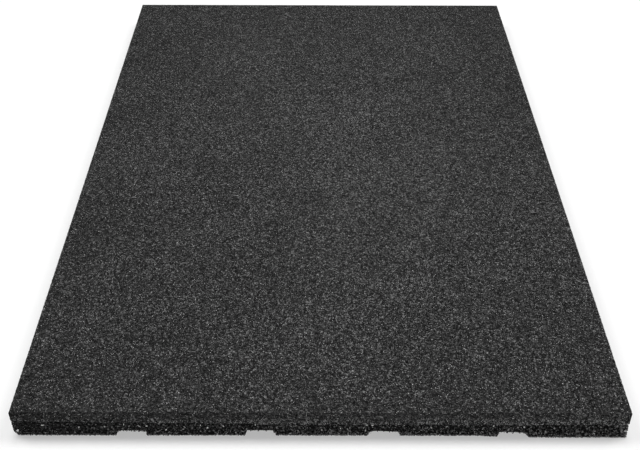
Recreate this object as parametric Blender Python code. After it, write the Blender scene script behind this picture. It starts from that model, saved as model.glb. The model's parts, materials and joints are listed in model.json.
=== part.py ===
"""Rubber safety mat: one pressed slab of bound rubber granulate.

The slab lies flat with its walking face up. X is the width, Y the length and Z the thickness.
The origin is the middle of the underside, and the face that shows its drainage channels looks along -Y.
All sizes are metres.
"""

import math

import bmesh
import bpy

# Driving dimensions
WIDTH = 1.000
LENGTH = 1.500
THICKNESS = 0.055
UPPER_BAND = 0.026
LIP = 0.001
TOP_ARRIS = 0.002
CORNER_RADIUS = 0.003
MIDDLE_FOOT = 0.153
NEXT_FOOT = 0.160
CHANNEL_MOUTH = 0.050
CHANNEL_DEPTH = 0.010
CHANNEL_WALL_RUN = 0.005

# Sizes that follow from them
CHANNEL_ROOF = CHANNEL_MOUTH - 2 * CHANNEL_WALL_RUN
INNER_CHANNEL = (MIDDLE_FOOT + CHANNEL_MOUTH) / 2
OUTER_CHANNEL = INNER_CHANNEL + NEXT_FOOT + CHANNEL_MOUTH
CHANNEL_CENTRES = (-OUTER_CHANNEL, -INNER_CHANNEL, INNER_CHANNEL, OUTER_CHANNEL)
BAND_LINE = THICKNESS - UPPER_BAND

# How finely round stretches are cut, and how far a cutter reaches past the rubber
ARRIS_STEPS = 4
CORNER_STEPS = 4
CUTTER_OVERRUN = 0.010

RUBBER_COLOUR = (0.040, 0.040, 0.041, 1.0)
RUBBER_ROUGHNESS = 0.85


def clear_scene():
    """Starts from a scene with no objects in it."""
    for item in list(bpy.data.objects):
        bpy.data.objects.remove(item)


def rubber_material():
    """Black bound granulate, dull and not metallic."""
    material = bpy.data.materials.new("black_granulate")
    material.use_nodes = True
    shader = material.node_tree.nodes["Principled BSDF"]
    shader.inputs["Base Color"].default_value = RUBBER_COLOUR
    shader.inputs["Roughness"].default_value = RUBBER_ROUGHNESS
    shader.inputs["Metallic"].default_value = 0.0
    return material


def edge_profile():
    """The side of the slab from its underside up, as (setback from the full outline, height)."""
    profile = [(LIP, 0.0), (LIP, BAND_LINE), (0.0, BAND_LINE)]
    for step in range(ARRIS_STEPS + 1):
        turn = math.radians(90.0) * step / ARRIS_STEPS
        setback = TOP_ARRIS * (1.0 - math.cos(turn))
        height = THICKNESS - TOP_ARRIS * (1.0 - math.sin(turn))
        profile.append((setback, height))
    return profile


def rounded_outline(setback):
    """Corners of the mat's plan outline, taken in by setback, counter-clockwise seen from above."""
    radius = CORNER_RADIUS - setback
    reach_x = WIDTH / 2 - CORNER_RADIUS
    reach_y = LENGTH / 2 - CORNER_RADIUS
    outline = []
    for quarter, (side_x, side_y) in enumerate(((1, 1), (-1, 1), (-1, -1), (1, -1))):
        for step in range(CORNER_STEPS + 1):
            turn = math.radians(90.0) * (quarter + step / CORNER_STEPS)
            x = side_x * reach_x + radius * math.cos(turn)
            y = side_y * reach_y + radius * math.sin(turn)
            outline.append((x, y))
    return outline


def add_ring(mesh, setback, height):
    """Adds the corners of one level of the slab and returns them in order."""
    return [mesh.verts.new((x, y, height)) for x, y in rounded_outline(setback)]


def join_rings(mesh, lower, upper):
    """Closes the side between two levels with one face for each pair of corners."""
    count = len(lower)
    for index in range(count):
        following = (index + 1) % count
        mesh.faces.new((lower[index], lower[following], upper[following], upper[index]))


def slab_mesh():
    """The closed slab before its channels: levels up the edge profile, joined and capped."""
    mesh = bmesh.new()
    rings = [add_ring(mesh, setback, height) for setback, height in edge_profile()]
    for lower, upper in zip(rings, rings[1:]):
        join_rings(mesh, lower, upper)
    mesh.faces.new(list(reversed(rings[0])))
    mesh.faces.new(rings[-1])
    data = bpy.data.meshes.new("rubber_mat")
    mesh.to_mesh(data)
    mesh.free()
    return data


def channel_mesh():
    """The space of one drainage channel: a flat-roofed trapezium that runs past both ends of the mat."""
    slope = CHANNEL_WALL_RUN / CHANNEL_DEPTH
    half_roof = CHANNEL_ROOF / 2
    half_below = CHANNEL_MOUTH / 2 + slope * CUTTER_OVERRUN
    section = (
        (-half_below, -CUTTER_OVERRUN),
        (half_below, -CUTTER_OVERRUN),
        (half_roof, CHANNEL_DEPTH),
        (-half_roof, CHANNEL_DEPTH),
    )
    start = -LENGTH / 2 - CUTTER_OVERRUN
    run = LENGTH + 2 * CUTTER_OVERRUN
    mesh = bmesh.new()
    end_face = mesh.faces.new([mesh.verts.new((x, start, z)) for x, z in section])
    swept = bmesh.ops.extrude_face_region(mesh, geom=[end_face])["geom"]
    far_corners = [item for item in swept if isinstance(item, bmesh.types.BMVert)]
    bmesh.ops.translate(mesh, verts=far_corners, vec=(0.0, run, 0.0))
    bmesh.ops.recalc_face_normals(mesh, faces=mesh.faces)
    data = bpy.data.meshes.new("channel_cutter")
    mesh.to_mesh(data)
    mesh.free()
    return data


def add_object(name, data):
    """Links a mesh to the scene under a name."""
    item = bpy.data.objects.new(name, data)
    bpy.context.scene.collection.objects.link(item)
    return item


def cut_channel(mat, number, centre, data):
    """Cuts one drainage channel along the whole length of the underside."""
    cutter = add_object(f"channel_cutter_{number}", data)
    cutter.location = (centre, 0.0, 0.0)
    cutter.hide_render = True
    cutter.display_type = "WIRE"
    cut = mat.modifiers.new(f"channel_{number}", "BOOLEAN")
    cut.operation = "DIFFERENCE"
    cut.solver = "EXACT"
    cut.object = cutter


def build_mat():
    """The whole mat: the slab, its channels and its material."""
    data = slab_mesh()
    data.materials.append(rubber_material())
    mat = add_object("rubber_mat", data)
    cutter_data = channel_mesh()
    for number, centre in enumerate(CHANNEL_CENTRES, 1):
        cut_channel(mat, number, centre, cutter_data)
    data.shade_smooth()
    data.set_sharp_from_angle(angle=math.radians(30.0))
    return mat


clear_scene()
build_mat()
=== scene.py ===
"""Rubber safety mat, dressed: pressed fine granulate on top, coarse shreds and crumbs below.

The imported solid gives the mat's sizes. X is its width, Y its length and Z is up, all in metres.
The walking face and the upper band of the sides are sheets of crumbs pressed flat against a mould.
The lower band is chips and shreds bound onto a rough core, which also has the drainage channels.
"""

import json
import math
from itertools import chain

import bmesh
import bpy
import numpy as np
from mathutils import Matrix, Vector


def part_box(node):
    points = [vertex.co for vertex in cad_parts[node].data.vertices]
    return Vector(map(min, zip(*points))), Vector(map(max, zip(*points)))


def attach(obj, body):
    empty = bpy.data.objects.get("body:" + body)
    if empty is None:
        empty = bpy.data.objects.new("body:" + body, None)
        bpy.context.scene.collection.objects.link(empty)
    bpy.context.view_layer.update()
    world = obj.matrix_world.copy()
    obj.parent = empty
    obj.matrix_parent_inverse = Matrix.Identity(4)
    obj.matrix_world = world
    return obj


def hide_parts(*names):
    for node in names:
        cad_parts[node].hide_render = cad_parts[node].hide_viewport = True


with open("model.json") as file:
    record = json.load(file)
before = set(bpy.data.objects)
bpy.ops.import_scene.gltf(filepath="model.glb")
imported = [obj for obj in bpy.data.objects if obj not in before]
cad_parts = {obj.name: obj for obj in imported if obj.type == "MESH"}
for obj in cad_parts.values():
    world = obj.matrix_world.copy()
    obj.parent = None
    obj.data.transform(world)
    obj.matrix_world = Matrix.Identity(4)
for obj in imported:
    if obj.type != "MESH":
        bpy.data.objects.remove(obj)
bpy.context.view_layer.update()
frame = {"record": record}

bl_info = {
    "name": "Rubber Safety Mat",
    "version": (1, 0, 0),
    "blender": (4, 5, 0),
    "location": "View3D > Sidebar > Safety Mat",
    "description": "Dresses a slab of bound rubber granulate with its crumbs, shreds and studio",
    "category": "Object",
}

NODE = "rubber_mat"
BODY = "root"
BAKE_MAP = "OFBake"
MM = 0.001

# The shade that the mesh gives a crumb: 0 is the darkest rubber, and the upper band's stop at the lightest.
# Between the two marks a crumb turns pale, so one with the last value is a pale crumb.
# Besides the crumbs' own tones it carries painted shade and painted light, each marked where it is set.
SHADE = "crumb_shade"
LIGHTEST = 1.4
PALE_MARKS = (1.5, 1.6)
PALE = 2.0

# The slab's sizes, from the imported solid
LOW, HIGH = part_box(NODE)
WIDTH = HIGH.x - LOW.x
LENGTH = HIGH.y - LOW.y
THICKNESS = HIGH.z - LOW.z

# The drainage channels: their middles from the record, and the section that they all share
OPENINGS = frame["record"]["physics"]["openings"]
CHANNEL_MIDDLES = [(box[0][0] + box[1][0]) / 2 for box in (opening["box_m"] for opening in OPENINGS)]
CHANNEL_MOUTH = 50 * MM
CHANNEL_WALL_RUN = 5 * MM
CHANNEL_DEPTH = 10 * MM

# A channel's mouth: its left and right edge at the floor, the runs of its two walls and its roof's height.
# Those in the front face have crumbled and lie a little to the right. They ease into the even ones behind.
EVEN_MOUTHS = [
    (
        middle - CHANNEL_MOUTH / 2, middle + CHANNEL_MOUTH / 2,
        CHANNEL_WALL_RUN, CHANNEL_WALL_RUN, CHANNEL_DEPTH,
    )
    for middle in CHANNEL_MIDDLES
]
FRONT_MOUTHS = (
    (-333.5 * MM, -284.5 * MM, 5.5 * MM, 0.6 * MM, 7.7 * MM),
    (-123.0 * MM, -72.0 * MM, 4.0 * MM, 6.5 * MM, 8.8 * MM),
    (77.5 * MM, 130.0 * MM, 5.0 * MM, 5.0 * MM, 7.3 * MM),
    (289.5 * MM, 340.0 * MM, 2.5 * MM, 10.0 * MM, 7.1 * MM),
)
FRONT_MOUTH_REACH = 60 * MM

# The core's foot reaches out nearly to the chips' faces, so no floor shows between them
CORE_FOOT_SETBACK = 1.0 * MM
CORE_FOOT_HEIGHT = 6.0 * MM
CORE_TOP = THICKNESS - 4 * MM

# How deep the walking face and the upper band reach into the mat as closed bodies
SHEET_DEPTH = 5 * MM

# Damage at the front: a corner broken off the foot on the left, and a nick below the lip on the right
BROKEN_CORNER = np.array((-WIDTH / 2, -LENGTH / 2, 0.0))
BROKEN_REACH = np.array((6.5, 9.0, 11.0)) * MM
NICK_MIDDLE = np.array((WIDTH / 2, -LENGTH / 2, 26 * MM))
NICK_RADIUS = 4.0 * MM

# Two pale crumbs that stand out near the corners of the front: how far along it, and how high
PALE_SPOTS = ((-492.2 * MM, 11.6 * MM), (495.6 * MM, 13.2 * MM))


# Settings

def millimetres(name, description, default, low, high):
    """A setting for a length, with its default and its range in millimetres."""
    return bpy.props.FloatProperty(
        name=name, description=description, default=default * MM, min=low * MM, max=high * MM,
        unit="LENGTH", precision=5,
    )


def degrees(name, description, default, low=-180.0, high=180.0):
    """A setting for an angle, with its default and its range in degrees."""
    return bpy.props.FloatProperty(
        name=name, description=description, default=math.radians(default),
        min=math.radians(low), max=math.radians(high), subtype="ANGLE",
    )


def grey(name, description, lightness):
    """A setting for a colour, which is grey by default."""
    return bpy.props.FloatVectorProperty(
        name=name, description=description, default=(lightness, lightness, lightness),
        size=3, min=0.0, max=1.0, subtype="COLOR",
    )


def light_strength(name, description, default):
    """A setting for how strong a light is."""
    return bpy.props.FloatProperty(name=name, description=description, default=default, min=0.0)


class GranulateSettings(bpy.types.PropertyGroup):
    """The fine granulate of the walking face and the upper band."""

    pitch: millimetres("Crumb pitch", "Distance between the middles of two pressed crumbs", 3.5, 2.0, 20.0)
    scatter: bpy.props.FloatProperty(
        name="Scatter",
        description="How far a crumb's corners stray from an even pattern, as a share of the pitch",
        default=0.34, min=0.0, max=0.4, subtype="FACTOR",
    )
    pit_depth: millimetres("Pit depth", "Usual depth of the gaps between pressed crumbs", 0.9, 0.0, 3.0)
    arris: millimetres(
        "Arris radius", "Radius of the rounded edge between the walking face and the sides", 1.6, 0.5, 5.0,
    )
    ridge: millimetres(
        "Ridge", "How far the upper band's foot stands out, where the mould's parts met", 2.2, 0.0, 4.0,
    )
    ridge_height: millimetres(
        "Ridge height", "How high the ridge reaches above the band line", 4.5, 1.0, 10.0,
    )
    strips: bpy.props.IntProperty(
        name="Strips",
        description="How many long strips the walking face is made in, to keep each mesh light",
        default=4, min=3, max=8,
    )
    seed: bpy.props.IntProperty(name="Seed", description="Start of the random draws", default=11, min=0)


class CoarseSettings(bpy.types.PropertyGroup):
    """The coarse lower band: the core's rough wall and the chips bound onto it."""

    line_height: millimetres(
        "Band line", "Height of the line between the upper and the lower band", 29.0, 20.0, 45.0,
    )
    line_rise: millimetres(
        "Band line rise", "How much higher the line is at the front left corner", 7.5, 0.0, 12.0,
    )
    line_waver: millimetres(
        "Band line waver", "How far the band line strays up and down along a side", 0.7, 0.0, 3.0,
    )
    groove: millimetres("Groove", "How far the chips lie back just below the upper band", 2.4, 0.0, 4.0)
    foot_bulge: millimetres(
        "Foot bulge", "How far the right end of the front face's foot bulges out", 3.6, 0.0, 8.0,
    )
    core_setback: millimetres(
        "Core setback", "How far the core's wall lies behind the mat's outline", 3.2, 1.0, 6.0,
    )
    core_step: millimetres("Core step", "Size of the core's rough facets", 6.0, 3.0, 20.0)
    chip_step: millimetres("Chip step", "Distance between neighbouring chips", 3.1, 2.0, 10.0)
    foot_step: millimetres(
        "Foot step", "Distance between neighbours in the closer row along the floor", 1.6, 1.0, 10.0,
    )
    foot_flare: millimetres("Foot flare", "How far the lowest chips stand out", 0.8, 0.0, 4.0)
    shred_length: millimetres(
        "Shred length", "Longest shred of tyre rubber among the chips", 9.0, 3.0, 20.0,
    )
    shred_share: bpy.props.FloatProperty(
        name="Shred share",
        description="Share of the chips that are long shreds and not compact crumbs",
        default=0.5, min=0.0, max=1.0, subtype="FACTOR",
    )
    seed: bpy.props.IntProperty(name="Seed", description="Start of the random draws", default=23, min=0)


class FinishSettings(bpy.types.PropertyGroup):
    """Colours of the rubber."""

    # The darkest colour is reached chiefly where painted shade in the pits and on the core's walls lowers
    # the tone
    pit_colour: grey("Pit colour", "Colour of the darkest rubber, down between the crumbs", 0.004)
    rubber_colour: grey("Rubber colour", "Colour of an ordinary crumb", 0.055)
    scuffed_colour: grey(
        "Scuffed colour", "Colour of a crumb that lies cut face up and looks greyer", 0.300,
    )
    fleck_colour: grey("Fleck colour", "Colour of the few pale flecks of fibre and dust", 0.78)


class StudioSettings(bpy.types.PropertyGroup):
    """Floor, light and camera."""

    floor_colour: grey("Floor colour", "Colour of the pale studio floor", 0.62)
    floor_size: bpy.props.FloatProperty(
        name="Floor size",
        description="Length of the square floor's side",
        default=120.0, min=5.0, unit="LENGTH",
    )
    floor_glow: light_strength(
        "Floor glow", "Light that the floor gives from below, as a light table does", 0.35,
    )
    softbox_strength: light_strength(
        "Softbox strength", "Light of the long overhead softbox, in watts a square metre", 3.43,
    )
    softbox_width: degrees(
        "Softbox width", "Angle that the softbox fills from left to right, seen from the mat", 90.0, 0.0,
    )
    softbox_depth: degrees(
        "Softbox depth", "Angle that the softbox fills from front to back, seen from the mat", 24.0, 0.0,
    )
    softbox_tilt: degrees("Softbox tilt", "How far the softbox leans towards the mat's far end", 16.0)
    fill_strength: light_strength(
        "Fill strength", "Light of the round fill lamp at the camera's side, in watts a square metre", 0.63,
    )
    fill_height: degrees(
        "Fill height", "How far above level the fill lamp stands, seen from the mat", 40.0, 0.0,
    )
    room_light: light_strength("Room light", "Strength of the even light from all round", 0.05)
    camera_place: bpy.props.FloatVectorProperty(
        name="Camera place",
        description="Where the camera stands",
        default=(-0.0059, -1.7884, 1.2454), size=3, subtype="TRANSLATION", unit="LENGTH", precision=4,
    )
    camera_pitch: degrees("Camera pitch", "How far the camera looks down from level", 37.919)
    camera_yaw: degrees("Camera yaw", "How far the camera turns to the right of straight ahead", 0.201)
    camera_roll: degrees("Camera roll", "How far the camera leans", 0.226)
    focal_length: bpy.props.FloatProperty(
        name="Focal length",
        description="Focal length on a 36 mm wide sensor, in millimetres",
        default=54.52, min=10.0,
    )


# Sides of the mat

UP = np.array((0.0, 0.0, 1.0))


class Side:
    """A side of the mat: the middle of its foot, the ways along and inwards, and its length.

    The band line rises towards its high end: 1 is the end that along points to, -1 the other, 0 neither.
    """

    def __init__(self, name, foot, along, inward, length, high_end):
        self.name = name
        self.foot = np.array((*foot, 0.0))
        self.along = np.array((*along, 0.0))
        self.inward = np.array((*inward, 0.0))
        self.length = length
        self.high_end = high_end

    def place(self, along, inward, height):
        """Points at distances along the side, inwards from it and above the floor."""
        along, inward, height = np.broadcast_arrays(along, inward, height)
        level = self.foot + along[..., None] * self.along + inward[..., None] * self.inward
        return level + height[..., None] * UP

    def painted_side_light(self, points):
        """Painted light at points: the front goes from a darker left end to a lighter right end."""
        light_slope = 0.2 if self.name == "front" else 0.0
        return 1.0 + light_slope * ((points - self.foot) @ self.along) / (self.length / 2)

    def end_fade(self, along, reach):
        """1 along the side, falling to 0 over a reach before its ends."""
        return np.clip((self.length / 2 - abs(along)) / reach, 0.0, 1.0)

    def band_line(self, along, coarse):
        """Height of the band line: level, rising towards the front left corner, and wavering a little."""
        to_corner = self.length / 2 - self.high_end * along
        rise = coarse.line_rise * np.clip(1.0 - to_corner / (WIDTH / 2), 0.0, 1.0) * abs(self.high_end)
        rng = np.random.default_rng(coarse.seed + len(self.name))
        wave = sum(
            np.sin(along / length * 2 * math.pi + rng.uniform(0.0, 2 * math.pi)) / 2
            for length in (0.31, 0.083, 0.031, 0.012)
        )
        return coarse.line_height + rise + coarse.line_waver * wave * self.end_fade(along, 10 * MM)


def mat_sides():
    """The four sides, counter-clockwise from the front, seen from above."""
    half_width, half_length = WIDTH / 2, LENGTH / 2
    return (
        Side("front", (0, -half_length), (1, 0), (0, 1), WIDTH, -1),
        Side("right", (half_width, 0), (0, 1), (-1, 0), LENGTH, 0),
        Side("back", (0, half_length), (-1, 0), (0, -1), WIDTH, 0),
        Side("left", (-half_width, 0), (0, -1), (1, 0), LENGTH, 1),
    )


# Meshes

def crumb_sheet(corners, tops):
    """Points and triangles of a sheet of crumbs: four neighbouring corners and one top make a crumb."""
    rows, columns = tops.shape[:2]
    corner = np.arange((rows + 1) * (columns + 1)).reshape(rows + 1, columns + 1)
    top = corner.size + np.arange(rows * columns).reshape(rows, columns)
    ring = (corner[:-1, :-1], corner[:-1, 1:], corner[1:, 1:], corner[1:, :-1])
    triangles = [np.stack((ring[turn], ring[(turn + 1) % 4], top), -1).reshape(-1, 3) for turn in range(4)]
    points = np.concatenate((corners.reshape(-1, 3), tops.reshape(-1, 3)))
    rim = np.concatenate((corner[0, :-1], corner[:-1, -1], corner[-1, :0:-1], corner[:0:-1, 0]))
    return points, np.concatenate(triangles).tolist(), rim


def close_behind(points, faces, shade, rim, offset):
    """Makes a closed solid of a sheet: walls back from its rim by an offset, and one face across them."""
    start, count = len(points), len(rim)
    points = np.concatenate((points, points[rim] + np.array(offset)))
    shade = np.concatenate((shade, np.zeros(count)))
    for index in range(count):
        following = (index + 1) % count
        faces.append((int(rim[following]), int(rim[index]), start + index, start + following))
    faces.append(tuple(range(start + count - 1, start - 1, -1)))
    return points, faces, shade


def folded_map(places, faces, closing, parts):
    """A bake map for a long narrow sheet, cut into lengths that lie one above the other.

    The places are its points' distances along it and across it. The last faces, which close it
    behind, get a strip of their own. The number of parts is how many sheets share the map.
    """
    corner = np.fromiter(chain.from_iterable(faces), int)
    counts = np.fromiter(map(len, faces), int)
    face = np.repeat(np.arange(len(faces)), counts)
    low, high = places.min(0), places.max(0)
    length, height = high - low
    folds = max(1, round(math.sqrt(length / (height * parts))))
    along, across = ((places[corner] - low) / (high - low)).T
    middle = np.add.reduceat(along, np.cumsum(counts) - counts) / counts
    fold = np.clip((middle * folds).astype(int), 0, folds - 1)[face]
    behind = face >= len(faces) - closing
    return np.stack((
        0.01 + 0.98 * np.where(behind, along, along * folds - fold),
        np.where(behind, 0.97 + 0.02 * across, 0.96 * (fold + 0.03 + 0.94 * across) / folds),
    ), -1)


def joined(parts):
    """Joins parts, each of points, faces, shades and a map, into one. The maps lie one above the other."""
    points, faces, shade, places = [], [], [], []
    start = 0
    for number, (part_points, part_faces, part_shade, part_map) in enumerate(parts):
        points.append(part_points)
        faces += [[start + corner for corner in face] for face in part_faces]
        shade.append(part_shade)
        places.append((part_map + (0, number)) / (1, len(parts)))
        start += len(part_points)
    return np.concatenate(points), faces, np.concatenate(shade), np.concatenate(places)


def add_object(name, data):
    """Puts data into the scene as an object."""
    item = bpy.data.objects.new(name, data)
    bpy.context.scene.collection.objects.link(item)
    return item


def new_piece(name, material, points, faces, shade, places):
    """Makes a piece of the mat from points and faces, with its crumb shades and its bake map."""
    mesh = bpy.data.meshes.new(name)
    mesh.from_pydata(points, [], faces)
    mesh.attributes.new(SHADE, "FLOAT", "POINT").data.foreach_set("value", shade.astype(np.float32))
    mesh.uv_layers.new(name=BAKE_MAP).data.foreach_set("uv", places.astype(np.float32).ravel())
    mesh.materials.append(material)
    piece = add_object(name, mesh)
    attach(piece, BODY)
    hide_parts(NODE)


def cell_middles(corners):
    """Middles of the cells between four corners."""
    return (corners[:-1, :-1] + corners[:-1, 1:] + corners[1:, 1:] + corners[1:, :-1]) / 4


# Shares of the corners between crumbs that a larger crumb bridges, and of the crumbs that have broken out
BRIDGED_SHARE = 0.15
BROKEN_OUT_SHARE = 0.06


def pit_depths(rng, shape, pit_depth):
    """Depths of the corners between crumbs: most are pits, and a larger crumb bridges some."""
    deep = rng.normal(pit_depth, 0.3 * pit_depth, shape)
    bridged = rng.uniform(0.05, 0.35, shape) * pit_depth
    return np.clip(np.where(rng.random(shape) < BRIDGED_SHARE, bridged, deep), 0.02 * MM, 2 * MM)


def top_depths(rng, shape, pit_depth):
    """Depths of the crumbs' tops: most are pressed flat against the mould, and a few have broken out."""
    pressed = abs(rng.normal(0.0, 0.16, shape)) * pit_depth
    broken_out = rng.uniform(0.9, 1.6, shape) * pit_depth
    return np.where(rng.random(shape) < BROKEN_OUT_SHARE, broken_out, pressed)


def crumb_shades(rng, corner_depths, crumb_depths, pit_depth):
    """Shades for a sheet's corners and tops: painted shade, darker the deeper the pit, and a little
    different on each crumb.
    """
    darkest = 1.9 * pit_depth
    corners = 1.0 - corner_depths.ravel() / darkest
    tops = (1.0 - crumb_depths.ravel() / darkest) * rng.uniform(0.8, 1.0, crumb_depths.size)
    return np.clip(np.concatenate((corners, tops)), 0.0, 1.0)


# Walking face

def face_corners(grain):
    """Corners between the walking face's crumbs, out to its arris, and how deep they would lie inland.

    Those on an edge stay on it and lie only a quarter as deep.
    """
    rng = np.random.default_rng(grain.seed)
    half_width, half_length = WIDTH / 2 - grain.arris, LENGTH / 2 - grain.arris
    x, y = np.meshgrid(
        np.linspace(-half_width, half_width, round(2 * half_width / grain.pitch) + 1),
        np.linspace(-half_length, half_length, round(2 * half_length / grain.pitch) + 1),
    )
    stray_x, stray_y = rng.uniform(-1, 1, (2, *x.shape)) * grain.scatter * grain.pitch
    stray_x[:, (0, -1)] = 0.0
    stray_y[(0, -1), :] = 0.0
    depth = pit_depths(rng, x.shape, grain.pit_depth)
    edge_depth = depth.copy()
    edge_depth[(0, -1), :] *= 0.25
    edge_depth[:, (0, -1)] *= 0.25
    return np.stack((x + stray_x, y + stray_y, THICKNESS - edge_depth), -1), depth


def build_walking_face(grain, material):
    """The walking face, in long strips that share the corners between them."""
    rng = np.random.default_rng(grain.seed + 1)
    corners, depth = face_corners(grain)
    tops = cell_middles(corners)
    crumb_depths = top_depths(rng, tops.shape[:2], grain.pit_depth)
    tops[..., :2] += rng.uniform(-1, 1, (*tops.shape[:2], 2)) * 0.22 * grain.pitch
    tops[..., 2] = THICKNESS - crumb_depths
    cuts = np.linspace(0, tops.shape[1], grain.strips + 1).round().astype(int)
    for number, (first, last) in enumerate(zip(cuts, cuts[1:]), 1):
        points, faces, rim = crumb_sheet(corners[:, first:last + 1], tops[:, first:last])
        shade = crumb_shades(rng, depth[:, first:last + 1], crumb_depths[:, first:last], grain.pit_depth)
        points, faces, shade = close_behind(points, faces, shade, rim, -SHEET_DEPTH * UP)
        places = folded_map(points[:, (1, 0)], faces, len(rim) + 1, 1)
        new_piece(f"walking_face_{number}", material, points, faces, shade, places)


# Upper band

def side_edges(corners):
    """The walking face's edge corners along each side, counter-clockwise from the front."""
    return (corners[0], corners[:, -1], corners[-1, ::-1], corners[::-1, 0])


def band_surface(side, along, grain, coarse):
    """The pressed surface of the upper band before its crumbs, row by row from the band line up.

    Returns how far each row's corners stand in from the side, their heights, and which way they face
    as an angle up from level. The last two rows turn over the arris.
    """
    line = side.band_line(along, coarse)
    shoulder = THICKNESS - grain.arris
    rows = round((shoulder - coarse.line_height) / grain.pitch)
    climb = np.linspace(0.0, 1.0, rows + 1)[:, None]
    above_line = (shoulder - line) * climb
    ridge = grain.ridge * np.exp(-(above_line / grain.ridge_height) ** 2) * side.end_fade(along, 15 * MM)
    arris_turns = np.radians((45.0, 90.0))
    arris_heights = shoulder + grain.arris * np.sin(arris_turns)
    turns = np.concatenate((np.zeros(rows + 1), arris_turns))[:, None]
    inward = grain.arris * (1.0 - np.cos(turns)) + np.zeros(len(along))
    inward[:rows + 1] -= ridge
    heights = np.concatenate((line + above_line, np.repeat(arris_heights[:, None], len(along), 1)))
    return inward, heights, turns


def band_sheet(side, edge, grain, coarse, parts):
    """The upper band of one side, from the band line up round the arris to the walking face's edge."""
    rng = np.random.default_rng(grain.seed + 100 + len(side.name))
    edge_along = (edge - side.foot) @ side.along
    inward, heights, turns = band_surface(side, edge_along, grain, coarse)
    outward = grain.arris * np.cos(turns)
    half = side.length / 2 - grain.arris
    along = edge_along * (half + outward) / half
    loose = np.ones(along.shape)
    loose[:, (0, -1)] = 0.0
    loose[-1, :] = 0.0
    along = along + rng.uniform(-1, 1, along.shape) * grain.scatter * grain.pitch * loose
    heights[1:-2] += rng.uniform(-1, 1, heights[1:-2].shape) * 0.3 * grain.pitch * loose[1:-2]
    heights[-1] = edge[:, 2]
    # Both sides that meet at an upright corner draw it in alike
    corner_pull = 0.2 * MM * outward[:, 0] / grain.arris
    for column, way in ((0, 1), (-1, -1)):
        along[:, column] += way * corner_pull
        inward[:, column] += corner_pull
    full_depth = pit_depths(rng, along.shape, grain.pit_depth)
    depth = full_depth * loose
    depth[(0, -2), :] *= 0.5
    corners = side.place(along, inward + depth * np.cos(turns), heights - depth * np.sin(turns))
    tops = cell_middles(side.place(along, inward, heights))
    crumb_depths = top_depths(rng, tops.shape[:2], grain.pit_depth) + 0.1 * MM
    cell_turns = (turns[:-1] + turns[1:])[..., None] / 2
    sinking = np.cos(cell_turns) * side.inward - np.sin(cell_turns) * UP
    tops += crumb_depths[..., None] * sinking
    points, faces, rim = crumb_sheet(corners, tops)
    shade = crumb_shades(rng, full_depth, crumb_depths, grain.pit_depth)
    # The band is lighter towards its lip: painted light on the ridge. On the front it also carries the
    # painted light of the right end
    above_line = points[:, 2] - side.band_line((points - side.foot) @ side.along, coarse)
    lip = np.exp(-(above_line / (10 * MM)) ** 2)
    shade = np.minimum(shade * side.painted_side_light(points) * (0.97 + 0.6 * lip), LIGHTEST)
    backwards = SHEET_DEPTH * side.inward - 1.5 * MM * UP
    points, faces, shade = close_behind(points, faces, shade, rim, backwards)
    places = np.stack(((points - side.foot) @ side.along, points[:, 2]), -1)
    return points, faces, shade, folded_map(places, faces, len(rim) + 1, parts)


# Core and channels

def core_knots(mouths, coarse):
    """Corners of the core's outline across the mat, counter-clockwise seen from the front."""
    half = WIDTH / 2 - coarse.core_setback
    foot = WIDTH / 2 - CORE_FOOT_SETBACK
    knots = [(-foot, 0.0)]
    for left, right, left_run, right_run, roof in mouths:
        knots += [(left, 0.0), (left + left_run, roof), (right - right_run, roof), (right, 0.0)]
    knots += [(foot, 0.0), (half, CORE_FOOT_HEIGHT), (half, CORE_TOP)]
    return np.array(knots + [(-half, CORE_TOP), (-half, CORE_FOOT_HEIGHT), (-foot, 0.0)])


def core_section(knots, steps):
    """The outline through knots, with a number of steps from each to the next."""
    return np.concatenate([
        start + (end - start) * np.arange(count)[:, None] / count
        for start, end, count in zip(knots, knots[1:], steps)
    ])


def outward_normals(outline):
    """Outward direction at each point of a counter-clockwise outline."""
    along = np.roll(outline, -1, 0) - np.roll(outline, 1, 0)
    normal = np.stack((along[:, 1], -along[:, 0]), -1)
    return normal / np.linalg.norm(normal, axis=1, keepdims=True)


def core_outlines(coarse, y):
    """The core's even outline, and its outline at each distance along it, shaped by the front mouths."""
    knots = core_knots(EVEN_MOUTHS, coarse)
    steps = [
        max(1, round(math.dist(start, end) / coarse.core_step))
        for start, end in zip(knots, knots[1:])
    ]
    # The flat top, hidden below the walking face, needs no steps
    steps[-3] = 1
    even = core_section(knots, steps)
    front = core_section(core_knots(FRONT_MOUTHS, coarse), steps)
    crumbled = np.clip(1.0 - (y + LENGTH / 2) / FRONT_MOUTH_REACH, 0.0, 1.0)
    return even, even + crumbled[..., None] * (front - even)


def past_break(points):
    """How far points lie past the plane that the broken foot corner has come off along, as a share."""
    return 1.0 - ((points - BROKEN_CORNER) / BROKEN_REACH).sum(-1)


def broken_off(points):
    """The points, with those past the break moved back onto it."""
    normal = 1.0 / BROKEN_REACH
    return points + np.maximum(past_break(points), 0.0)[..., None] * normal / (normal @ normal)


# How far right of the middle the bulge starts, and the stretch over which it grows
BULGE_START = 0.25
BULGE_GROWTH = 0.07


def front_bulge(along, height, coarse):
    """How far the front face's foot bulges out at its right end."""
    share = np.clip((along - BULGE_START) / BULGE_GROWTH, 0.0, 1.0)
    low = np.clip(1.0 - height / coarse.line_height, 0.0, 1.0)
    return coarse.foot_bulge * share * share * (3 - 2 * share) * low


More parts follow.
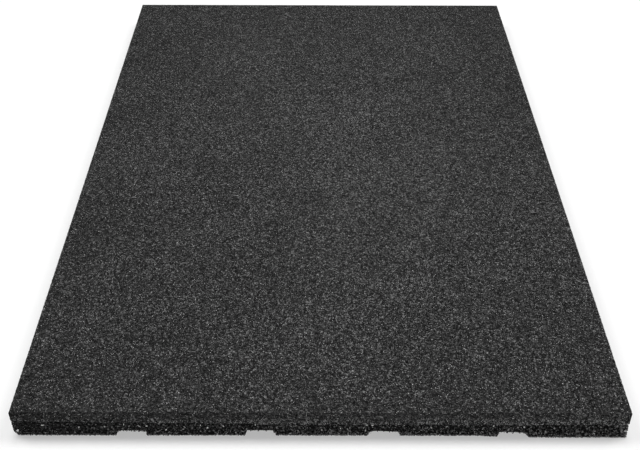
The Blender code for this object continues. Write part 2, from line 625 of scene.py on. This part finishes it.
def build_core(coarse, material):
    """The body behind the chips: rough underside, drainage channels and walls."""
    rng = np.random.default_rng(coarse.seed)
    half = LENGTH / 2 - coarse.core_setback
    rows = round(2 * half / coarse.core_step)
    y = np.linspace(-half, half, rows + 1)[:, None]
    outline, outlines = core_outlines(coarse, y)
    count = len(outline)
    depth = rng.uniform(0.0, 1.1, (rows + 1, count)) * MM
    depth[:, outline[:, 1] > CORE_TOP - MM] = 0.0
    section = outlines - depth[..., None] * outward_normals(outline)
    stray = rng.uniform(-0.3, 0.3, depth.shape) * coarse.core_step
    stray[(0, -1), :] = 0.0
    points = np.stack((section[..., 0], y + stray, np.maximum(section[..., 1], 0.05 * MM)), -1)
    points[0, :, 1] -= front_bulge(points[0, :, 0], points[0, :, 2], coarse)
    for row, way in ((0, -1), (-1, 1)):
        foot = points[row, :, 2] < 1.5 * MM
        points[row, foot, 1] += way * (coarse.core_setback - CORE_FOOT_SETBACK)
    points = broken_off(points.reshape(-1, 3))
    corner = np.arange((rows + 1) * count).reshape(rows + 1, count)
    after = np.roll(corner, -1, 1)
    faces = np.stack((corner[:-1], corner[1:], after[1:], after[:-1]), -1).reshape(-1, 4).tolist()
    faces += [corner[0].tolist(), corner[-1, ::-1].tolist()]
    # Painted shade: the core's walls and ends are dark so the gaps between chips read black, and its pits
    # darken with depth
    wall = np.broadcast_to(abs(outline[:, 0]) > WIDTH / 2 - 2 * coarse.core_setback, depth.shape)
    shade = np.where(wall, 0.0, 1.0 - depth / (1.6 * MM))
    shade[(0, -1), :] = 0.0
    new_piece("core", material, points, faces, shade.ravel(), core_map(points, faces, count, rows))


def core_map(points, faces, count, rows):
    """A bake map for the core: round its outline across, along its length up, and its ends at the top."""
    corner = np.fromiter(chain.from_iterable(faces), int)
    sides = np.fromiter(map(len, faces), int)
    place, row = corner % count, corner // count
    furthest = np.repeat(np.maximum.reduceat(place, np.cumsum(sides) - sides), sides)
    is_end = np.repeat(sides > 4, sides)
    round_again = (place == 0) & (furthest == count - 1)
    end_across = points[corner, 0] / WIDTH + 0.5
    end_up = 0.95 + 0.02 * points[corner, 2] / THICKNESS + 0.025 * (row > 0)
    return np.stack((
        np.where(is_end, end_across, (place + count * round_again) / count),
        np.where(is_end, end_up, 0.94 * row / rows),
    ), -1)


# Chips of the lower band

CHIP_CORNERS = 8
CHIP_SHAPES = 36

# How far chips keep from a channel's mouth and the band line, and how far past the break some still are
MOUTH_MARGIN = 1.0 * MM
LINE_MARGIN = 0.8 * MM
BREAK_MARGIN = 0.15

# Shares of the chips that are missing and that are pale, and the half size of the front's two pale crumbs
MISSING_SHARE = 0.05
PALE_SHARE = 0.012
PALE_CRUMB = 2.8 * MM

# How far below the band line the groove reaches and how dark its painted shade makes the chips, and the
# painted light bounced up from the floor near it
GROOVE_REACH = 5 * MM
PAINTED_GROOVE_SHADE = 0.38
PAINTED_BOUNCE = 0.30
PAINTED_BOUNCE_HEIGHT = 12 * MM


def chip_shapes(rng):
    """Hulls of a few points on a ball, each with its corners and its triangles."""
    shapes = []
    for _ in range(CHIP_SHAPES):
        mesh = bmesh.new()
        for direction in rng.normal(size=(CHIP_CORNERS, 3)):
            mesh.verts.new(Vector(direction).normalized())
        bmesh.ops.convex_hull(mesh, input=mesh.verts)
        bmesh.ops.recalc_face_normals(mesh, faces=mesh.faces)
        mesh.verts.index_update()
        corners = np.array([corner.co for corner in mesh.verts])
        shapes.append((corners, np.array([[corner.index for corner in face.verts] for face in mesh.faces])))
        mesh.free()
    return shapes


def in_a_channel(side, along, height):
    """True for chips that would stand in the mouth of a drainage channel."""
    blocked = np.zeros(along.shape, bool)
    mouths = {"front": FRONT_MOUTHS, "back": EVEN_MOUTHS}.get(side.name, ())
    across = along * side.along[0]
    for left, right, left_run, right_run, roof in mouths:
        rise = np.clip(height / roof, 0.0, 1.0)
        past_left = across > left + left_run * rise - MOUTH_MARGIN
        past_right = across < right - right_run * rise + MOUTH_MARGIN
        blocked |= past_left & past_right & (height < roof + MOUTH_MARGIN)
    return blocked


def chip_frames(rng, count):
    """Three directions for each chip: along, inwards, up. The first, its long one, lies near the face."""
    turn = rng.uniform(0, math.pi, count)
    tilt = rng.normal(0.0, 0.35, count)
    roll = rng.uniform(0, 2 * math.pi, count)[:, None]
    long_way = np.stack((np.cos(turn) * np.cos(tilt), np.sin(tilt), np.sin(turn) * np.cos(tilt)), -1)
    level = np.stack((-np.sin(turn), np.zeros(count), np.cos(turn)), -1)
    second = np.cos(roll) * level + np.sin(roll) * np.cross(long_way, level)
    return np.stack((long_way, second, np.cross(long_way, second)), 1)


def chip_sizes(rng, count, coarse):
    """Half sizes of each chip along its three directions: long shreds among compact crumbs."""
    shreds = np.stack((
        rng.uniform(0.25, 0.5, count) * coarse.shred_length,
        rng.uniform(1.0, 1.5, count) * MM,
        rng.uniform(0.8, 1.3, count) * MM,
    ), -1)
    crumbs = rng.uniform(1.5, 2.5, (count, 3)) * MM
    return np.where(rng.random((count, 1)) < coarse.shred_share, shreds, crumbs)


def chip_tones(rng, count, below_line, height):
    """How light each chip is: dark, ordinary or a cut face, with painted shade in the groove and painted
    floor-bounce light low down.
    """
    kind = rng.random(count)
    tone = np.where(kind < 0.3, rng.uniform(0.05, 0.3, count), rng.uniform(0.3, 0.58, count))
    tone = np.where(kind > 0.78, rng.uniform(0.65, 0.9, count), tone)
    # Painted light bounced up from the floor lightens the chips low down, and painted shade darkens those
    # in the groove
    dust = PAINTED_BOUNCE * np.clip(1.0 - height / PAINTED_BOUNCE_HEIGHT, 0.0, 1.0)
    return (tone + dust) * np.clip(below_line / GROOVE_REACH, PAINTED_GROOVE_SHADE, 1.0)


def chip_places(rng, side, coarse):
    """Distances along a side, heights and depths of its chips.

    Closer rows run up each end and along the foot.
    """
    columns = round(side.length / coarse.chip_step)
    rows = round((coarse.line_height + coarse.line_rise) / coarse.chip_step)
    along, height = np.meshgrid(
        (np.arange(columns) + 0.5) / columns * side.length - side.length / 2,
        (np.arange(rows) + 0.4) * coarse.chip_step,
    )
    along = along + rng.uniform(-0.5, 0.5, along.shape) * coarse.chip_step
    height = height + rng.uniform(-0.5, 0.5, height.shape) * coarse.chip_step
    end_heights = np.arange(0.5 * MM, coarse.line_height + coarse.line_rise, 1.5 * MM)
    end_along = np.full(end_heights.shape, side.length / 2 - 1.8 * MM)
    foot_along = np.arange(2 * MM, side.length - 2 * MM, coarse.foot_step) - side.length / 2
    foot_heights = np.full(foot_along.shape, 0.6 * MM)
    along = np.concatenate((along.ravel(), end_along, -end_along, foot_along))
    height = np.concatenate((height.ravel(), end_heights, end_heights, foot_heights))
    return along, height, rng.uniform(0.7, 2.4, along.shape) * MM


def front_spots(along, height):
    """The chips nearest to the front's pale spots."""
    return [np.argmin(np.hypot(along - spot[0], height - spot[1])) for spot in PALE_SPOTS]


def chip_band(side, shapes, coarse, parts):
    """The coarse lower band of one side."""
    rng = np.random.default_rng(coarse.seed + 10 + len(side.name))
    along, height, depth = chip_places(rng, side, coarse)
    below_line = side.band_line(along, coarse) - height
    groove = coarse.groove * np.exp(-(below_line / GROOVE_REACH) ** 2) * side.end_fade(along, 12 * MM)
    flare = coarse.foot_flare * np.clip(1.0 - height / (6 * MM), 0.0, 1.0)
    bulge = front_bulge(along, height, coarse) if side.name == "front" else 0.0
    surface = groove - flare - bulge
    inward = surface + depth
    middles = side.place(along, inward, height)
    keep = ~in_a_channel(side, along, height)
    keep &= (past_break(middles) < BREAK_MARGIN) & (below_line > LINE_MARGIN)
    keep &= np.linalg.norm(middles - NICK_MIDDLE, axis=1) > NICK_RADIUS
    keep &= rng.random(along.shape) > MISSING_SHARE
    along, inward, height, surface = along[keep], inward[keep], height[keep], surface[keep]
    count = len(along)
    frames = chip_frames(rng, count) * chip_sizes(rng, count, coarse)[:, :, None]
    # The front's chips carry its painted light, darker at the left end and lighter at the right.
    tones = chip_tones(rng, count, below_line[keep], height) * side.painted_side_light(middles[keep])
    tones[rng.random(count) < PALE_SHARE] = PALE
    if side.name == "front":
        spots = front_spots(along, height)
        along[spots], height[spots] = np.transpose(PALE_SPOTS)
        inward[spots] = surface[spots] - 0.5 * MM
        frames[spots] *= PALE_CRUMB / np.linalg.norm(frames[spots], axis=-1, keepdims=True)
        tones[spots] = PALE
    kinds = rng.integers(0, len(shapes), count)
    end = side.length / 2 - 0.3 * MM
    # The mould has pressed the chips' outer sides nearly flat
    flat = np.minimum(surface + 0.2 * MM, inward)
    points, faces, shade = [], [], []
    for kind, (corners, triangles) in enumerate(shapes):
        chosen = kinds == kind
        local = corners @ frames[chosen] + np.stack((along, inward, height), -1)[chosen][:, None]
        local[..., 0] = np.clip(local[..., 0], -end, end)
        local[..., 1] = np.maximum(local[..., 1], flat[chosen][:, None])
        local[..., 2] = np.maximum(local[..., 2], 0.0)
        start = sum(map(len, points)) + np.arange(len(local))[:, None, None] * len(corners)
        points.append(local.reshape(-1, 3))
        faces.append((triangles + start).reshape(-1, 3))
        shade.append(np.repeat(tones[chosen], len(corners)))
    local, faces = np.concatenate(points), np.concatenate(faces).tolist()
    places = folded_map(local[:, (0, 2)], faces, 0, parts)
    return broken_off(side.place(*local.T)), faces, np.concatenate(shade), places


# Materials

CRUMB_GRAIN = 1.5 * MM
GRIT_GRAIN = 0.9 * MM

# Grit turns from rubber to a pale fleck where its random number is between these, and is one above them
FLECK_LIMITS = (0.992, 0.994)

# The tones at which the rubber has the colours of a pit, of an ordinary crumb and of a scuffed one
PIT_TONE = 0.05
RUBBER_TONE = 0.40
SCUFFED_TONE = 0.80


def fill(node, values):
    """Gives a node's inputs their values, or links where the value is another node's socket."""
    for name, value in values.items():
        if isinstance(value, bpy.types.NodeSocket):
            node.id_data.links.new(value, node.inputs[name])
        else:
            node.inputs[name].default_value = value
    return node


def math_node(tree, operation, first, second, clamp=False):
    """The result of a Math node on two sockets or numbers."""
    node = tree.nodes.new("ShaderNodeMath")
    node.operation = operation
    node.use_clamp = clamp
    return fill(node, {0: first, 1: second}).outputs[0]


def ranged(tree, value, low, high, to_low, to_high):
    """Carries a value from one range into another, stopping at its ends."""
    ends = {"From Min": low, "From Max": high, "To Min": to_low, "To Max": to_high}
    return fill(tree.nodes.new("ShaderNodeMapRange"), {"Value": value, **ends}).outputs["Result"]


def cells(tree, place, size, feature):
    """A Voronoi pattern of cells of a size in metres."""
    node = tree.nodes.new("ShaderNodeTexVoronoi")
    node.feature = feature
    return fill(node, {"Vector": place, "Scale": 1.0 / size})


def cell_numbers(tree, place, size):
    """Three random numbers for each cell of a Voronoi pattern."""
    colour = cells(tree, place, size, "F1").outputs["Color"]
    return fill(tree.nodes.new("ShaderNodeSeparateColor"), {0: colour}).outputs


def effect_group(name, inputs, outputs):
    """An empty node group with named sockets, what it is given, and the node that takes its results."""
    group = bpy.data.node_groups.new(name, "ShaderNodeTree")
    for socket, kind in inputs.items():
        group.interface.new_socket(socket, in_out="INPUT", socket_type=kind)
    for socket in outputs:
        group.interface.new_socket(socket, in_out="OUTPUT", socket_type="NodeSocketFloat")
    return group, group.nodes.new("NodeGroupInput").outputs, group.nodes.new("NodeGroupOutput")


def make_crumb_grain():
    """Packed crumbs: how light the rubber is, how high it stands and where pale flecks lie.

    Shade comes from the mesh. At Evenness 1 it alone decides the tone, and at 0 each crumb's own does too.
    Past the pale marks it makes a pale crumb.
    """
    group, given, result = effect_group(
        "crumb_grain",
        {"Place": "NodeSocketVector", "Shade": "NodeSocketFloat", "Evenness": "NodeSocketFloat"},
        ("Tone", "Height", "Fleck"),
    )
    place, shade, evenness = given["Place"], given["Shade"], given["Evenness"]
    crumb = cell_numbers(group, place, CRUMB_GRAIN)
    grit = cell_numbers(group, place, GRIT_GRAIN)
    gap = cells(group, place, CRUMB_GRAIN, "DISTANCE_TO_EDGE").outputs["Distance"]
    # Each crumb is darker towards its rim: painted shade in the gaps between crumbs
    rim = ranged(group, gap, 0.0, 0.16, 0.0, 1.0)
    own = math_node(group, "MULTIPLY", crumb[0], ranged(group, rim, 0.0, 1.0, 0.4, 1.0))
    levelled = math_node(group, "MULTIPLY", math_node(group, "SUBTRACT", 1.0, own), evenness)
    tone = math_node(group, "MULTIPLY", math_node(group, "ADD", own, levelled), shade)
    height = math_node(group, "MULTIPLY", rim, math_node(group, "ADD", crumb[1], 0.5))
    height = math_node(group, "ADD", height, math_node(group, "MULTIPLY", grit[1], 0.4))
    fleck = ranged(group, grit[2], *FLECK_LIMITS, 0.0, 1.0)
    fleck = math_node(group, "MAXIMUM", fleck, ranged(group, shade, *PALE_MARKS, 0.0, 1.0))
    fill(result, {"Tone": tone, "Height": height, "Fleck": fleck})


def make_clouds_and_light_pool():
    """Broad tones of a large dark face: soft clouds, and a painted pool of light that makes the middle
    paler.
    """
    group, given, result = effect_group("broad_mottle", {"Place": "NodeSocketVector"}, ("Lightness",))
    place = given["Place"]
    noise = fill(group.nodes.new("ShaderNodeTexNoise"), {"Vector": place, "Scale": 6.0, "Detail": 3.0})
    from_middle = group.nodes.new("ShaderNodeMapping")
    from_middle.vector_type = "TEXTURE"
    fill(from_middle, {"Vector": place, "Location": (0.03, 0.02, 0.0), "Scale": (0.65, 1.15, 1.0)})
    distance = group.nodes.new("ShaderNodeVectorMath")
    distance.operation = "LENGTH"
    fill(distance, {0: from_middle.outputs[0]})
    # A painted pool of light makes the rubber paler towards the mat's middle
    painted_light_pool = ranged(group, distance.outputs["Value"], 0.0, 1.0, 1.13, 0.91)
    clouds = ranged(group, noise.outputs[0], 0.3, 0.7, 0.93, 1.07)
    fill(result, {"Lightness": math_node(group, "MULTIPLY", painted_light_pool, clouds)})


def granulate_material(name, finish, evenness, lightness, bump):
    """Black rubber granulate: crumb tones, pale flecks, dull cut faces and a fine relief."""
    material = bpy.data.materials.new(name)
    material.use_nodes = True
    tree = material.node_tree
    place = tree.nodes.new("ShaderNodeTexCoord").outputs["Object"]
    shade = tree.nodes.new("ShaderNodeAttribute")
    shade.attribute_name = SHADE
    grain, broad_tones_and_light = tree.nodes.new("ShaderNodeGroup"), tree.nodes.new("ShaderNodeGroup")
    grain.node_tree = bpy.data.node_groups["crumb_grain"]
    broad_tones_and_light.node_tree = bpy.data.node_groups["broad_mottle"]
    fill(grain, {"Place": place, "Shade": shade.outputs["Fac"], "Evenness": evenness})
    fill(broad_tones_and_light, {"Place": place})
    # The tone takes the soft clouds and the painted pool of light
    tone = math_node(tree, "MULTIPLY", grain.outputs["Tone"], broad_tones_and_light.outputs["Lightness"])
    tone = math_node(tree, "MULTIPLY", tone, lightness, clamp=True)
    ramp = fill(tree.nodes.new("ShaderNodeValToRGB"), {0: tone})
    stops = ramp.color_ramp.elements
    stops[0].position, stops[0].color = PIT_TONE, (*finish.pit_colour, 1.0)
    stops[1].position, stops[1].color = SCUFFED_TONE, (*finish.scuffed_colour, 1.0)
    stops.new(RUBBER_TONE).color = (*finish.rubber_colour, 1.0)
    flecked = tree.nodes.new("ShaderNodeMix")
    flecked.data_type = "RGBA"
    fleck_colour = (*finish.fleck_colour, 1.0)
    fill(flecked, {"Factor": grain.outputs["Fleck"], "A": ramp.outputs["Color"], "B": fleck_colour})
    relief = tree.nodes.new("ShaderNodeBump")
    fill(relief, {"Height": grain.outputs["Height"], "Strength": bump, "Distance": 0.5 * MM})
    fill(tree.nodes["Principled BSDF"], {
        "Base Color": flecked.outputs["Result"],
        "Roughness": ranged(tree, grain.outputs["Tone"], 0.1, 0.9, 0.9, 0.65),
        "Specular IOR Level": 0.12,
        "Normal": relief.outputs["Normal"],
    })


def make_materials(finish):
    """The two effects and the three rubber finishes."""
    make_crumb_grain()
    make_clouds_and_light_pool()
    granulate_material("fine_granulate", finish, evenness=0.0, lightness=1.01, bump=0.8)
    granulate_material("coarse_chips", finish, evenness=0.75, lightness=1.0, bump=0.5)
    # The core is painted darker: painted shade behind the chips
    granulate_material("core_granulate", finish, evenness=0.3, lightness=0.6, bump=1.0)


def rubber(name, context):
    """One of the rubber finishes, which are made when the first is asked for."""
    if name not in bpy.data.materials:
        make_materials(context.scene.safety_mat_finish)
    return bpy.data.materials[name]


# Studio

WHITE = (1.0, 1.0, 1.0, 1.0)


def build_floor(studio):
    """The pale studio floor."""
    half = studio.floor_size / 2
    level = -0.2 * MM
    mesh = bpy.data.meshes.new("studio_floor")
    corners = [(-half, -half, level), (half, -half, level), (half, half, level), (-half, half, level)]
    mesh.from_pydata(corners, [], [(0, 1, 2, 3)])
    material = bpy.data.materials.new("studio_floor")
    material.use_nodes = True
    fill(material.node_tree.nodes["Principled BSDF"], {
        "Base Color": (*studio.floor_colour, 1.0),
        "Roughness": 0.95,
        "Specular IOR Level": 0.0,
        "Emission Color": WHITE,
        "Emission Strength": studio.floor_glow,
    })
    mesh.materials.append(material)
    floor = add_object("studio_floor", mesh)


def build_light(studio):
    """A long overhead softbox, as a row of round lamps, a fill lamp in front and a white room."""
    reach = (studio.softbox_width - studio.softbox_depth) / 2
    leans = (-reach, 0.0, reach)
    lamps = [(-studio.softbox_tilt, lean, studio.softbox_strength / len(leans)) for lean in leans]
    lamps.append((math.pi / 2 - studio.fill_height, 0.0, studio.fill_strength))
    for number, (tilt, lean, strength) in enumerate(lamps, 1):
        lamp = bpy.data.lights.new(f"lamp_{number}", "SUN")
        lamp.energy = strength
        lamp.angle = studio.softbox_depth
        add_object(f"lamp_{number}", lamp).rotation_euler = (tilt, lean, 0.0)
    world = bpy.data.worlds.new("studio_room")
    world.use_nodes = True
    nodes = world.node_tree.nodes
    lit = fill(nodes["Background"], {"Color": WHITE, "Strength": studio.room_light})
    seen = fill(nodes.new("ShaderNodeBackground"), {"Color": WHITE})
    to_camera = nodes.new("ShaderNodeLightPath").outputs["Is Camera Ray"]
    room = nodes.new("ShaderNodeMixShader")
    fill(room, {0: to_camera, 1: lit.outputs[0], 2: seen.outputs[0]})
    fill(nodes["World Output"], {"Surface": room.outputs[0]})
    bpy.context.scene.world = world


def build_camera(studio):
    """The camera, which looks down on the mat from beyond its front."""
    pitch, yaw, roll = studio.camera_pitch, studio.camera_yaw, studio.camera_roll
    forward = Vector((math.sin(yaw) * math.cos(pitch), math.cos(yaw) * math.cos(pitch), -math.sin(pitch)))
    level = Vector((math.cos(yaw), -math.sin(yaw), 0.0))
    upright = level.cross(forward)
    right = level * math.cos(roll) + upright * math.sin(roll)
    up = upright * math.cos(roll) - level * math.sin(roll)
    data = bpy.data.cameras.new("camera")
    data.lens = studio.focal_length
    data.sensor_width = 36.0
    camera = add_object("camera", data)
    turn = Matrix((right, up, -forward)).transposed().to_4x4()
    camera.matrix_world = Matrix.Translation(studio.camera_place) @ turn
    bpy.context.scene.camera = camera


# Operators

class StudioOperator(bpy.types.Operator):
    """Set up the floor, the light and the camera"""

    bl_idname = "safety_mat.studio"
    bl_label = "Studio"

    def execute(self, context):
        studio = context.scene.safety_mat_studio
        build_floor(studio)
        build_light(studio)
        build_camera(studio)
        context.scene.view_settings.view_transform = "Standard"
        return {"FINISHED"}


class WalkingFaceOperator(bpy.types.Operator):
    """Lay the pressed crumbs of the walking face"""

    bl_idname = "safety_mat.walking_face"
    bl_label = "Walking face"

    def execute(self, context):
        build_walking_face(context.scene.safety_mat_granulate, rubber("fine_granulate", context))
        return {"FINISHED"}


class UpperBandOperator(bpy.types.Operator):
    """Press the upper band of the four sides"""

    bl_idname = "safety_mat.upper_band"
    bl_label = "Upper band"

    def execute(self, context):
        grain, coarse = context.scene.safety_mat_granulate, context.scene.safety_mat_coarse
        edges = side_edges(face_corners(grain)[0])
        sheets = [band_sheet(side, edge, grain, coarse, 4) for side, edge in zip(mat_sides(), edges)]
        new_piece("upper_band", rubber("fine_granulate", context), *joined(sheets))
        return {"FINISHED"}


class CoreOperator(bpy.types.Operator):
    """Make the rough core with its drainage channels"""

    bl_idname = "safety_mat.core"
    bl_label = "Core and channels"

    def execute(self, context):
        build_core(context.scene.safety_mat_coarse, rubber("core_granulate", context))
        return {"FINISHED"}


class LowerBandOperator(bpy.types.Operator):
    """Bind chips and shreds onto the lower band of the four sides"""

    bl_idname = "safety_mat.lower_band"
    bl_label = "Lower band"

    def execute(self, context):
        coarse = context.scene.safety_mat_coarse
        shapes = chip_shapes(np.random.default_rng(coarse.seed))
        material = rubber("coarse_chips", context)
        front, right, back, left = mat_sides()
        for name, sides in (("ends", (front, back)), ("right", (right,)), ("left", (left,))):
            bands = [chip_band(side, shapes, coarse, len(sides)) for side in sides]
            new_piece(f"lower_band_{name}", material, *joined(bands))
        return {"FINISHED"}


class SafetyMatPanel(bpy.types.Panel):
    """Sidebar panel with the mat's pieces and settings"""

    bl_idname = "VIEW3D_PT_safety_mat"
    bl_label = "Safety Mat"
    bl_space_type = "VIEW_3D"
    bl_region_type = "UI"
    bl_category = "Safety Mat"

    def draw(self, context):
        for operator in OPERATORS:
            self.layout.operator(operator.bl_idname)
        for name, (group, label) in SETTINGS.items():
            box = self.layout.box()
            box.label(text=label)
            for setting in group.__annotations__:
                box.prop(getattr(context.scene, name), setting)


OPERATORS = (StudioOperator, WalkingFaceOperator, UpperBandOperator, CoreOperator, LowerBandOperator)
SETTINGS = {
    "safety_mat_granulate": (GranulateSettings, "Fine granulate"),
    "safety_mat_coarse": (CoarseSettings, "Coarse band"),
    "safety_mat_finish": (FinishSettings, "Rubber colours"),
    "safety_mat_studio": (StudioSettings, "Studio"),
}


def register():
    for name, (group, label) in SETTINGS.items():
        bpy.utils.register_class(group)
        setattr(bpy.types.Scene, name, bpy.props.PointerProperty(type=group, name=label))
    for operator in OPERATORS:
        bpy.utils.register_class(operator)
    bpy.utils.register_class(SafetyMatPanel)


def unregister():
    bpy.utils.unregister_class(SafetyMatPanel)
    for operator in reversed(OPERATORS):
        bpy.utils.unregister_class(operator)
    for name, (group, _) in reversed(SETTINGS.items()):
        delattr(bpy.types.Scene, name)
        bpy.utils.unregister_class(group)


def main():
    """Builds the pieces in order."""
    register()
    bpy.ops.safety_mat.studio()
    bpy.ops.safety_mat.walking_face()
    bpy.ops.safety_mat.upper_band()
    bpy.ops.safety_mat.core()
    bpy.ops.safety_mat.lower_band()


if __name__ == "__main__":
    main()
